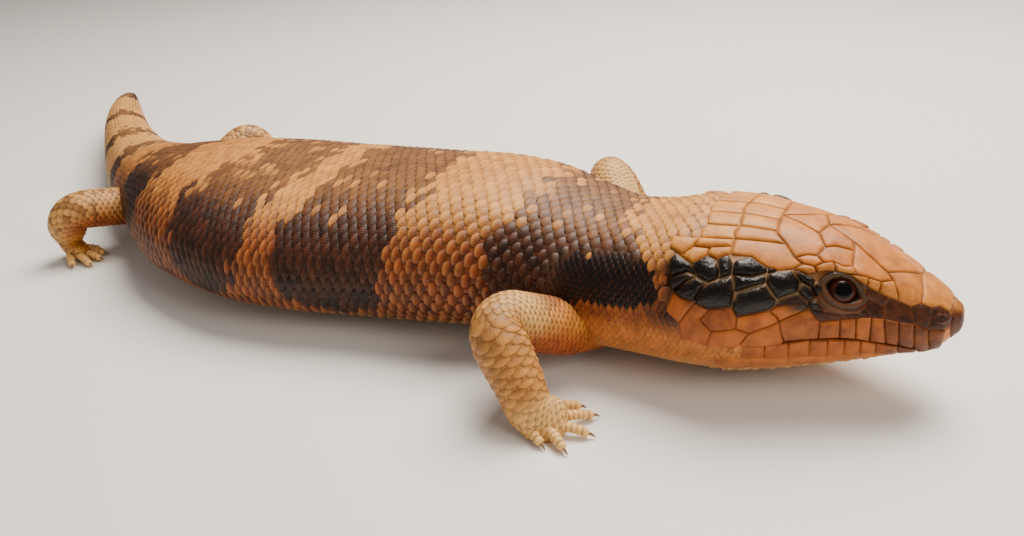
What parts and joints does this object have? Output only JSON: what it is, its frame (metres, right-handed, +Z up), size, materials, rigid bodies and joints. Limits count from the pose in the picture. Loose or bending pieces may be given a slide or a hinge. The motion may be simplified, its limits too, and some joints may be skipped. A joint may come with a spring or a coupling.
{
  "type": "western blue-tongued skink",
  "caption": "Life-size still model of a western blue-tongued skink lying on its belly, head up, legs spread, tail curved to its left.",
  "frame": {"origin": "centre of the whole animal's outline on the floor that it rests on, at the belly's flat", "axes": "+X towards the head, +Y to the animal's left, +Z up"},
  "size_m": [0.4049, 0.1565, 0.0432],
  "materials": {
    "skin": "smooth glossy scales, dark brown bands on cream and tan",
    "eye": "wet gloss, dark red-brown iris round a black pupil",
    "ear_drum": "dull dark membrane",
    "claw": "dark smooth horn"
  },
  "bodies": {
    "root": {"head": "skin", "lower_jaw": "skin", "eye_left": "eye", "eye_right": "eye", "ear_left": "ear_drum", "ear_right": "ear_drum", "neck": "skin", "torso_front": "skin", "torso_middle": "skin", "torso_rear": "skin", "tail_base": "skin", "tail_middle": "skin", "tail_tip": "skin", "upper_arm_left": "skin", "forearm_left": "skin", "hand_left": "skin", "thigh_left": "skin", "shin_left": "skin", "foot_left": "skin", "upper_arm_right": "skin", "forearm_right": "skin", "hand_right": "skin", "thigh_right": "skin", "shin_right": "skin", "foot_right": "skin"}
  },
  "joints": []
}
